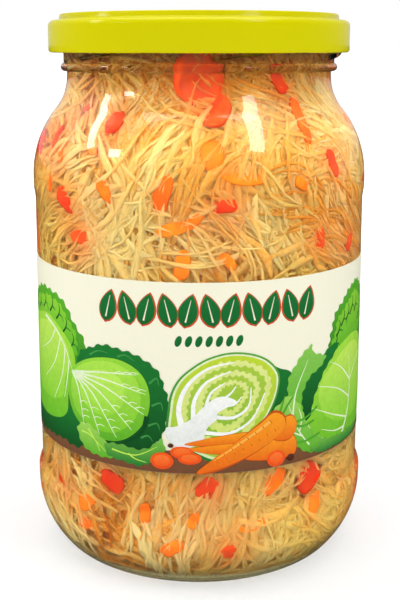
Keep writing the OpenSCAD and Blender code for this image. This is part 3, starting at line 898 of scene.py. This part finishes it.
def scattered(listed, count, lengths, widths):
    """The listed bits, and a count more set at random round the sides and the back."""
    more = [
        (turn, height, rng.uniform(*lengths), rng.uniform(*widths), rng.uniform(0, 180))
        for turn, height in zip(
            rng.uniform(72, 288, count),
            np.where(rng.random(count) < 0.4, rng.uniform(8, 36, count), rng.uniform(84, 142, count)),
        )
    ]
    table = np.array(listed + more, float)
    turn, height, length, width, tilt = table.T
    runs = np.array([run_at(z) for z in height])
    return np.radians(turn), runs, length * LONGER, width * WIDER, np.radians(tilt)


peppers = scattered(PEPPERS, 34, (4, 10), (3, 7))
carrots = scattered(CARROTS, 52, (5, 15), (2, 3.4))


def bits(name, kind, thick, depth, links, material, bevel):
    """Blunt-ended bits of one kind, bent to the glass."""
    turn, run, length, width, tilt = kind
    count = len(turn)
    turns, runs, depths = lines(turn, run, tilt, length, rng.normal(0, 0.03, count),
                                rng.uniform(*depth, count), links, rng.uniform(0, math.tau, count), 0.15, 0.1)
    number = np.linspace(-1, 1, links + 1)[None]
    blunt = np.clip(1.01 - np.abs(number) ** 3, 0.03, 1) ** 0.5
    uneven = 1 + 0.16 * np.sin(number * rng.uniform(1, 3, (count, 1)) + rng.uniform(0, math.tau, (count, 1)))
    tone = rng.uniform(0, 1, (count, 1)) + 0.15 * np.sin(number * 3 + rng.uniform(0, 6, (count, 1)))
    return swept(name, turns, runs, depths, width[:, None] * blunt * uneven,
                 np.full((count, links + 1), thick) * blunt,
                 rng.normal(0, 0.15, (count, 1)) * np.ones_like(blunt), {"tone": np.clip(tone, 0, 1)},
                 material, links, bevel)


def wet_bit(name, dark, light):
    """Cut vegetable flesh, wet and half clear, mottled between two colours."""
    material, tree, output = new_material(name)
    tone_at = add(tree, "Attribute", attribute_name="tone").outputs["Fac"]
    place = add(tree, "TexCoord").outputs["Object"]
    flesh = add(tree, "TexNoise", {"Vector": place, "Scale": 420.0, "Detail": 3.0})
    level = add(tree, "Math", {0: tone_at, 1: flesh.outputs["Fac"]}, operation="MULTIPLY")
    colour = add(tree, "ValToRGB", {"Fac": level.outputs[0]})
    colour.color_ramp.elements[0].color = linear(dark)
    colour.color_ramp.elements[1].color = linear(light)
    colour.color_ramp.elements[1].position = 0.7
    wet_flesh(tree, output, colour.outputs["Color"], 0.4, 1.37, 0.2, 0.4)
    return material


pepper_flesh = wet_bit("red_pepper_flesh", "#e42c00", "#ff6a28")
carrot_flesh = wet_bit("carrot_flesh", "#f86c00", "#ffa524")
bits("pepper_bits", peppers, 1.5, (0.88, 1.3), 16, pepper_flesh, 0.25)
bits("carrot_strips", carrots, 1.2, (0.72, 1.2), 16, carrot_flesh, 0.25)


LOW_SHARE = 0.36  # share of the bunches that show below the label
BELOW, ABOVE = (4, 39), (82, brine_z - 1)  # heights of the bunches below and above the label
# Painted shade: the shreds near the top are painted darker, standing in for the shadow of the lid.
NECK_Z, NECK_FADE, NECK_PAINTED_SHADE = 131, 9, 0.45  # the shreds darken above this height, over so many mm


def shreds(name, bunches, spread, width, length, depth, thick, links, tone):
    """One piece of shreds in bunches, each bunch side by side and bending together."""
    size = rng.integers(*spread, bunches)
    middle = np.repeat(np.arange(bunches), size)
    count = len(middle)
    low = rng.random(bunches) < LOW_SHARE
    heights = np.where(low, rng.uniform(*BELOW, bunches), rng.uniform(*ABOVE, bunches))
    bunch_turn = rng.uniform(-math.pi, math.pi, bunches)
    bunch_run = np.array([run_at(z) for z in heights])
    swirl = 1.1 * np.sin(bunch_turn * 2 + bunch_run / 17)
    swirl = swirl + 0.9 * np.sin(bunch_turn * 3.3 - bunch_run / 11 + 1.7)
    heading = (0.9 + swirl + rng.normal(0, 0.6, bunches))[middle] + rng.normal(0, 0.13, count)
    bend = rng.normal(0, 0.035, bunches)[middle] + rng.normal(0, 0.004, count)
    phase = rng.uniform(0, math.tau, bunches)[middle] + rng.normal(0, 0.5, count)
    gap = rng.normal(0, 1, count) * (size[middle] * width * 0.36)
    run = bunch_run[middle] + gap * np.cos(heading)
    radius = np.maximum(np.interp(np.clip(run, 9, wall_run[-1]), wall_run, wall_line[:, 0]), 8)
    turn = bunch_turn[middle] - gap * np.sin(heading) / radius
    slip = rng.normal(0, 0.2, count) * length
    run, turn = run + slip * np.sin(heading), turn + slip * np.cos(heading) / radius
    long = (length * rng.uniform(0.6, 1.3, bunches))[middle] * rng.uniform(0.75, 1.15, count)
    deep = rng.uniform(*depth, bunches)[middle] + rng.uniform(-0.3, 0.3, count)
    turns, runs, depths = lines(turn, run, heading, long, bend, deep, links, phase)
    number = np.linspace(-1, 1, links + 1)[None]
    taper = np.clip((1.02 - np.abs(number)) * 7, 0.15, 1) ** 0.5
    wide = width * np.clip(np.exp(rng.normal(0, 0.42, (count, 1))), 0.45, 2.4)
    wide = wide * (1 + 0.28 * np.sin(number * 5 + rng.uniform(0, 6, (count, 1))))
    roll = rng.normal(0, 0.35, (count, 1)) + 0.5 * np.sin(number * 2.2 + rng.uniform(0, 6, (count, 1)))
    depths = np.maximum(depths, thick / 2 + 0.12 + wide / 2 * np.abs(np.sin(roll)))
    # Painted shade: each layer's tone is darker the deeper it lies; bunches and shreds also differ in tone at
    # random.
    shade = tone + rng.normal(0, 0.17, bunches)[middle][:, None] + rng.normal(0, 0.05, (count, 1))
    shade = shade + 0.06 * np.sin(number * 3 + rng.uniform(0, 6, (count, 1)))
    # painted shade under the lid: the tone drops above NECK_Z
    shade = shade - NECK_PAINTED_SHADE * np.clip((runs - run_at(NECK_Z)) / NECK_FADE, 0, 1)
    # Shreds near the pepper and carrot bits are tinted peach, more strongly near the peppers.
    peach_tint = np.zeros((count, links + 1))
    for kind, reach, strength in ((peppers, 6.5, 0.8), (carrots, 4.5, 0.4)):
        for at, up, *_ in zip(*kind):
            away = np.hypot(((turns - at + math.pi) % math.tau - math.pi) * 44, runs - up)
            peach_tint += strength * np.exp(-(away / reach) ** 2)
    peach_tint = np.clip(peach_tint * rng.uniform(0.2, 1.0, (count, 1)), 0, 0.85)
    return swept(name, turns, runs, depths, wide * taper, thick * np.clip(taper, 0.3, 1) * np.ones_like(wide),
                 roll, {"tone": np.clip(shade, 0, 1), "peach_tint": peach_tint}, wet_cabbage, links)


# The deeper layers get a darker amber tone: painted shade for light dimmed by the brine and the shreds over
# them.
shreds("cabbage_shreds_deep", 300, (5, 12), 1.5, 28, (2.4, 4.0), 0.8, 8, 0.32)
shreds("cabbage_shreds_mid", 260, (7, 18), 1.25, 26, (1.5, 2.5), 0.35, 6, 0.52)
shreds("cabbage_shreds_outer", 270, (7, 19), 1.1, 25, (0.6, 1.5), 0.3, 6, 0.68)

# Packed core: the same cabbage further in, where shreds can no longer be told apart.

CORE_GAP = 4.6
core_body = turned(inside(brine_z - 0.8, CORE_GAP) + [(0, brine_z - 0.8)], 160, closed=False)
core_body.normal_update()
for v in core_body.verts:
    x, y, z = v.co / MM
    turn = math.atan2(x, -y)
    lump = math.sin(turn * 23 + z * 0.9) * math.sin(turn * 9 - z * 0.7) + 0.6 * math.sin(turn * 41 - z * 1.6)
    v.co -= v.normal * (0.4 + 0.35 * lump) * MM
core_cabbage, tree, output = new_material("packed_cabbage_core")
*_, shade = mottled(tree, 320.0, "#f0b050", "#ffe6ae", 4.0, 1.2)
shade.color_ramp.elements[0].position = 0.35
shade.color_ramp.elements[1].position = 0.68
pack = add(tree, "BsdfPrincipled", {
    "Base Color": shade.outputs["Color"], "Roughness": 0.5, "Specular IOR Level": 0.2,
})
tree.links.new(pack.outputs[0], output.inputs["Surface"])
core = piece("packed_core", core_body, core_cabbage)
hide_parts("filling")
